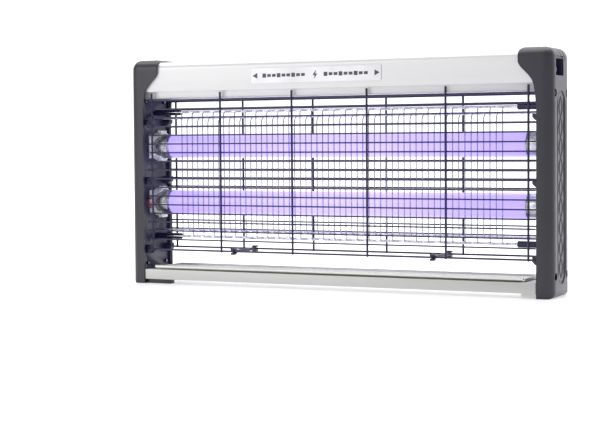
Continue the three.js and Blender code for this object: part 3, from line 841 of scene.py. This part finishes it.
class ZAPPER_OT_guards(bpy.types.Operator):
    """Welds the front and back guards from round wire, and adds the straps between them"""

    bl_idname = "zapper.guards"
    bl_label = "Guards"

    def execute(self, context):
        sizes = context.scene.zapper_sizes
        coat = powder_coated_wire(context.scene.zapper_finishes)
        post, bar = sizes.post_radius / MM, sizes.bar_radius / MM
        for name, outward in (("front_guard", -1), ("back_guard", 1)):
            y = middle(name, Y)
            half = span(name, X)[1] + BAR_REACH
            low, high = span(name, Z)
            posts = [(i - (POST_COUNT - 1) / 2) * POST_PITCH for i in range(POST_COUNT)]
            outer = y + outward * POST_OUT
            wires = [(tube, [(x, outer, low + POST_FOOT), (x, outer, high - POST_TOP)], post, 12)
                     for x in posts]
            heights = [BAR_TOP - j * BAR_PITCH for j in range(BAR_COUNT)] + [BAR_BOTTOM]
            for z in heights:
                thick = bar * (1.25 if z in (heights[0], heights[-1]) else 1)
                inner = y - outward * BAR_IN
                wires.append((tube, [(-half, inner, z), (half, inner, z)], thick, 10))
            screen = shape(name + "_wires", *wires)
            smooth(screen)
            finished(screen, name, coat, [name])
        dress(["guard_tie_left", "guard_tie_right"], moulded_black_abs(), 0.4)
        return {"FINISHED"}


# ---- Electrode grids ----

GRID_PITCH = 12.88
ROD_INSET = 1.2  # from the grid's faces to its rods' middles
OUTER_ROD_REACH = 6  # how far the outer rods run on into their sleeves
SLEEVE_BORE = 1.7
SLEEVE = [
    (191.0, SLEEVE_BORE), (190.9, 2.6), (191.1, 3.05), (191.6, 3.25),
    (221.8, 3.25), (221.8, 0), (216.5, 0), (216.5, SLEEVE_BORE),
]


class ZAPPER_OT_grids(bpy.types.Operator):
    """Bends the electrode wires and lays them on their rods, with the insulators at the ends"""

    bl_idname = "zapper.grids"
    bl_label = "Electrode Grids"

    def execute(self, context):
        sizes = context.scene.zapper_sizes
        steel, bright = drawn_stainless(), ground_stainless()
        wire, rod_radius = sizes.electrode_radius / MM, sizes.rod_radius / MM
        for name, count, first, bend in (("outer_grid", 29, -180.2, 4.0), ("inner_grid", 28, -173.8, 7.5)):
            low, high = (z + s for z, s in zip(span(name, Z), (ROD_INSET, -ROD_INSET)))
            front = span(name, Y)[0] + wire
            rod_y = span(name, Y)[1] - ROD_INSET
            half = span(name, X)[1]
            reach = half + (OUTER_ROD_REACH if name == "outer_grid" else 0)
            rods = shape(name + "_rods", *[
                (tube, [(-reach, rod_y, z), (reach, rod_y, z)], rod_radius, 16) for z in (low, high)])
            smooth(rods)
            finished(rods, "frame", bright)
            parts = []
            for i in range(count):
                x = first + i * GRID_PITCH
                corners = [(x, rod_y, low), (x, front, low + 0.6), (x, front, high - 0.6), (x, rod_y, high)]
                parts.append((tube, smoothed(corners, bend), wire, 8))
            grid = shape(name + "_wires", *parts)
            smooth(grid)
            finished(grid, "frame", steel, [name])
        black = moulded_black_abs()
        for level, low_cut in (("lower", 4), ("upper", SLEEVE_BORE)):
            for side, word in ((-1, "left"), (1, "right")):
                node = f"insulator_{level}_{word}"
                y, z = middle(node, Y), middle(node, Z)
                sleeve = shape(f"sleeve_{level}_{word}", (turned, SLEEVE, y, z, 28))
                if side < 0:
                    mirror(sleeve)
                    slot = shape("slot", (block, -208, -190, -4, y, z - low_cut, z + SLEEVE_BORE))
                    combine(sleeve, "DIFFERENCE", [slot])
                smooth(sleeve)
                finished(sleeve, "frame", black, [node])
        return {"FINISHED"}


# ---- Lamps and their holders ----

HOLDER_END, HOLDER_FACE = 221.8, 212.3
HOLDER_RADIUS, HOLDER_FLAT = 15.3, 14.9  # the rim, and the flat inside its rounded edge
JAW_BORE = 13.6


def lamp_holder(name, y, z):
    """A moulded holder on the right: a disc on a stem, horned jaws, ears and a ribbed flange."""
    jaw = [(HOLDER_FACE, JAW_BORE), (HOLDER_FACE, HOLDER_FLAT), (HOLDER_FACE + 0.4, HOLDER_RADIUS),
           (HOLDER_END - 2, HOLDER_RADIUS), (HOLDER_END - 2, JAW_BORE)]
    jaws = shape(name, (turned, jaw, y, z, 56))
    gap = [(HOLDER_FACE - 1.5 + 8.7 * math.cos(t), z + 10.5 * math.sin(t))
           for t in (2 * math.pi * i / 40 for i in range(40))]
    combine(jaws, "DIFFERENCE", [shape("gap", (prism, gap, "y", y - 20, y + 20))])
    disc = [(HOLDER_END - 2.4, 0), (HOLDER_END - 2.4, HOLDER_FLAT), (HOLDER_END - 2, HOLDER_RADIUS),
            (HOLDER_END, HOLDER_RADIUS), (HOLDER_END, 0)]
    parts = [shape("disc", (turned, disc, y, z, 56)),
             shape("stem", (block, HOLDER_END - 1, 228.4, y - 9.5, y + 9.5, z - 9.5, z + 9.5))]
    for low in (z - 17.2, z + 14.4):
        ear = rounded(HOLDER_FACE + 1.2, low, HOLDER_FACE + 5.2, low + 2.8, [1] * 4, 4)
        parts.append(shape("ear", (prism, ear, "y", y - 6, y + 6)))
    flange = shape("flange", (block, HOLDER_END - 1.1, HOLDER_END, -13.6, -8, z - 13, z + 13))
    heights = [z + up for up in (-9, -4.5, 0, 4.5, 9)]
    slots = [shape("slot", (block, HOLDER_END - 3, HOLDER_END + 1, -12.9, -11.5, at - 1.2, at + 1.2))
             for at in heights]
    parts.append(combine(flange, "DIFFERENCE", slots))
    socket = rod(HOLDER_END - 4, 226.8, 8.4)
    combine(jaws, "UNION", parts)
    return combine(jaws, "DIFFERENCE", [shape("socket", (turned, socket, y, z, 40))])


PIN_RADIUS, PIN_SPREAD = 1.175, 6.35  # each pin, and how far it stands from the lamp's middle


def lamp_base(name, y, z, side):
    """A pressed lamp base with a crimped rim and two pins."""
    start, end = 201.4, 218.7
    radius = 13.0
    profile = [(end - 0.8, 0), (end - 0.8, 12.1), (start, 12.2), (start, radius), (start + 0.9, radius),
               (start + 1.5, radius - 0.35), (start + 2.3, radius - 0.35), (start + 2.9, radius - 0.1)]
    profile += arc(end - 1.6, radius - 1.7, 1.6, 90, 0, 6)
    profile += [(end, 9.4), (end - 0.5, 9.0), (end - 0.5, 0)]
    pin = [(end - 1, 0), (end - 1, PIN_RADIUS), (225.3, PIN_RADIUS), (225.8, 0.7), (225.8, 0)]
    pins = [(turned, pin, y, z + up, 20) for up in (-PIN_SPREAD, PIN_SPREAD)]
    made = shape(name, (turned, profile, y, z, 64), *pins)
    if side < 0:
        mirror(made)
    smooth(made, 28)
    return made


class ZAPPER_OT_lamps(bpy.types.Operator):
    """Blows the lit tubes, presses their bases and finishes the holders"""

    bl_idname = "zapper.lamps"
    bl_label = "Lamps"

    def execute(self, context):
        glass = lit_phosphor_glass(context.scene.zapper_finishes, context.scene.zapper_sizes.lamp_glow)
        metal = pressed_aluminium()
        for level, z in LAMP_HEIGHTS.items():
            half = span(f"lamp_{level}_glass", X)[1]
            bend, flat = 2.5, 10.4  # the rounding of the glass's ends, and the flat within it
            profile = [(-half, 0), (-half, flat)] + arc(-half + bend, flat, bend, 180, 90, 6)
            profile += arc(half - bend, flat, bend, 90, 0, 6) + [(half, flat), (half, 0)]
            tube_glass = shape(f"tube_{level}", (turned, profile, LAMP_Y, z, 64))
            smooth(tube_glass)
            finished(tube_glass, f"lamp_{level}", glass, [f"lamp_{level}_glass"])
            for side, word in ((-1, "left"), (1, "right")):
                base = lamp_base(f"base_{level}_{word}", LAMP_Y, z, side)
                finished(base, f"lamp_{level}", metal, [f"lamp_{level}_cap_{word}"])
        white = polished_white_polycarbonate()
        for level, z in LAMP_HEIGHTS.items():
            for side, word in ((-1, "left"), (1, "right")):
                holder = lamp_holder(f"holder_{level}_{word}", LAMP_Y, z)
                if side < 0:
                    mirror(holder)
                soften(holder, 0.25 * MM, 38)
                finished(holder, "frame", white, [f"lamp_holder_{level}_{word}"])
        return {"FINISHED"}


# ---- Plates, leads and what the housing holds ----

class ZAPPER_OT_inner_parts(bpy.types.Operator):
    """Finishes the inner plates, the inlet, the leads and the parts inside the housing"""

    bl_idname = "zapper.inner_parts"
    bl_label = "Inner Parts"

    def execute(self, context):
        black = moulded_black_abs()
        dress(["inner_plate_left", "inner_plate_right", "power_inlet"], black, 0.35)
        dress([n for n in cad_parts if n.startswith("inlet_pin")], plated_brass(), 0.25)
        dress(["lamp_ballast", "transformer_core"], zinc_plated_steel(), 0.4)
        dress(["transformer_coil", "capacitor_front", "capacitor_back"],
              printed_film("wound_polyester_tape", "#C9A227"), 0.4)
        dress(["multiplier_board"], solder_mask(), 0.1)
        dress(["terminal_block"], polished_white_polycarbonate(), 0.4)
        red, white = soft_pvc("red_pvc", "#B4213D"), soft_pvc("white_pvc", "#DADAD6")
        dress(["lamp_lead_lower_left", "lamp_lead_lower_right"], red, 0.05)
        dress(["lamp_lead_upper_left", "lamp_lead_upper_right", "mains_lead"], white, 0.05)
        zinc = zinc_plated_steel()
        tips = [(220.2, 0), (220.4, 1.0), (221.0, 1.4), (221.4, 1.4), (221.4, 0)]
        for side, word in ((-1, "left"), (1, "right")):
            points = shape(f"screw_tips_{word}", *[(turned, tips, y, z, 16) for y, z in SCREWS])
            if side < 0:
                mirror(points)
            smooth(points)
            finished(points, "frame", zinc)
        low, high = span("holder_lead_loop", Z)
        near, far = span("holder_lead_loop", Y)
        x = middle("holder_lead_loop", X) + 0.5
        middle_z = (low + high) / 2
        wires = []
        for lift in (0.9, -0.9):
            points = [(x, far - 0.3, high - 1.6 + lift), (x, near + 5, high - 2.4 + lift * 0.6),
                      (x, near + 0.9, middle_z), (x, near + 4, low + 2.2 - lift * 0.6),
                      (x, far - 0.3, low + 1.6 - lift)]
            wires.append((tube, smoothed(points, 1.8), 0.5, 10))
        loop = shape("red_lead_pair", *wires)
        smooth(loop)
        finished(loop, "frame", red, ["holder_lead_loop"])
        return {"FINISHED"}


# ---- Stage ----

CAMERA_PLACE = (0.6368, -1.4018, 0.1537)
CAMERA_YAW, CAMERA_PITCH, CAMERA_ROLL = 26.116, 3.168, -0.454
FOCAL_LENGTH = 90.4


def soft_light(name, size, place, aim, power):
    data = bpy.data.lights.new(name, "AREA")
    data.shape = "RECTANGLE"
    data.size, data.size_y = size
    data.energy = power
    light = bpy.data.objects.new(name, data)
    bpy.context.scene.collection.objects.link(light)
    light.location = place
    light.rotation_euler = (Vector(aim) - Vector(place)).to_track_quat("-Z", "Y").to_euler()


def sweep():
    """A pale glowing sheet: a floor that curves up into a wall well behind the object."""
    radius, back, rise, half = 1.4, 2.2, 4.0, 7.0
    profile = [(-6.0, 0.0), (back, 0.0)]
    profile += [(back + radius * math.sin(math.radians(a)), radius - radius * math.cos(math.radians(a)))
                for a in range(6, 91, 6)]
    profile.append((back + radius, rise))
    bm = bmesh.new()
    rows = [[bm.verts.new((x, y, z)) for y, z in profile] for x in (-half, half)]
    for i in range(len(profile) - 1):
        bm.faces.new((rows[0][i], rows[0][i + 1], rows[1][i + 1], rows[1][i]))
    bmesh.ops.recalc_face_normals(bm, faces=bm.faces)
    mesh = bpy.data.meshes.new("studio_paper")
    bm.to_mesh(mesh)
    bm.free()
    paper = bpy.data.objects.new("studio_paper", mesh)
    bpy.context.scene.collection.objects.link(paper)
    smooth(paper)
    paper.data.materials.append(backlit_acrylic("backlit_acrylic", "#EFEFF4"))


class ZAPPER_OT_stage(bpy.types.Operator):
    """Sets the pale sweep, the soft lights and the camera"""

    bl_idname = "zapper.stage"
    bl_label = "Stage"

    def execute(self, context):
        scene = context.scene
        yaw, pitch, roll = (math.radians(a) for a in (CAMERA_YAW, CAMERA_PITCH, CAMERA_ROLL))
        level = math.cos(pitch)
        forward = Vector((-math.sin(yaw) * level, math.cos(yaw) * level, -math.sin(pitch)))
        right = Vector((math.cos(yaw), math.sin(yaw), 0))
        up = right.cross(forward)
        rolled_right = right * math.cos(roll) + up * math.sin(roll)
        rolled_up = up * math.cos(roll) - right * math.sin(roll)
        data = bpy.data.cameras.new("camera")
        data.lens = FOCAL_LENGTH
        data.sensor_width = 36
        camera = bpy.data.objects.new("camera", data)
        scene.collection.objects.link(camera)
        turn = Matrix((rolled_right, rolled_up, -forward)).transposed().to_4x4()
        camera.matrix_world = Matrix.Translation(CAMERA_PLACE) @ turn
        scene.camera = camera
        world = scene.world or bpy.data.worlds.new("studio")
        scene.world = world
        world.use_nodes = True
        sky = next(n for n in world.node_tree.nodes if n.type == "BACKGROUND")
        sky.inputs["Color"].default_value = (1, 1, 1, 1)
        sky.inputs["Strength"].default_value = 0.5
        scene.view_settings.view_transform = "Standard"
        soft_light("overhead", (2.4, 1.6), (-0.1, 0.2, 1.7), (0, 0, 0.1), 32)
        soft_light("front_left", (1.4, 1.4), (-1.6, -2.2, 1.0), (0, 0, 0.12), 15)
        soft_light("wall_wash", (5, 2.5), (0, 1.4, 2.6), (0, 3.6, 1.0), 60)
        sweep()
        return {"FINISHED"}


class ZAPPER_PT_pieces(bpy.types.Panel):
    """Lists the pieces in the order that they are built"""

    bl_label = "Bug Zapper"
    bl_space_type = "VIEW_3D"
    bl_region_type = "UI"
    bl_category = "Bug Zapper"

    def draw(self, context):
        for group in (context.scene.zapper_finishes, context.scene.zapper_sizes):
            for name in group.__annotations__:
                self.layout.prop(group, name)
        for operator in OPERATORS:
            self.layout.operator(operator.bl_idname)


OPERATORS = (
    ZAPPER_OT_stage,
    ZAPPER_OT_end_caps,
    ZAPPER_OT_housing,
    ZAPPER_OT_label,
    ZAPPER_OT_rail_and_tray,
    ZAPPER_OT_guards,
    ZAPPER_OT_grids,
    ZAPPER_OT_lamps,
    ZAPPER_OT_inner_parts,
)
CLASSES = (ZapperFinishes, ZapperSizes, *OPERATORS, ZAPPER_PT_pieces)


def register():
    for cls in CLASSES:
        bpy.utils.register_class(cls)
    bpy.types.Scene.zapper_finishes = bpy.props.PointerProperty(type=ZapperFinishes)
    bpy.types.Scene.zapper_sizes = bpy.props.PointerProperty(type=ZapperSizes)


def unregister():
    del bpy.types.Scene.zapper_sizes
    del bpy.types.Scene.zapper_finishes
    for cls in reversed(CLASSES):
        bpy.utils.unregister_class(cls)


def main():
    register()
    for operator in OPERATORS:
        group, name = operator.bl_idname.split(".")
        getattr(getattr(bpy.ops, group), name)()
    bpy.context.view_layer.update()


if __name__ == "__main__":
    main()
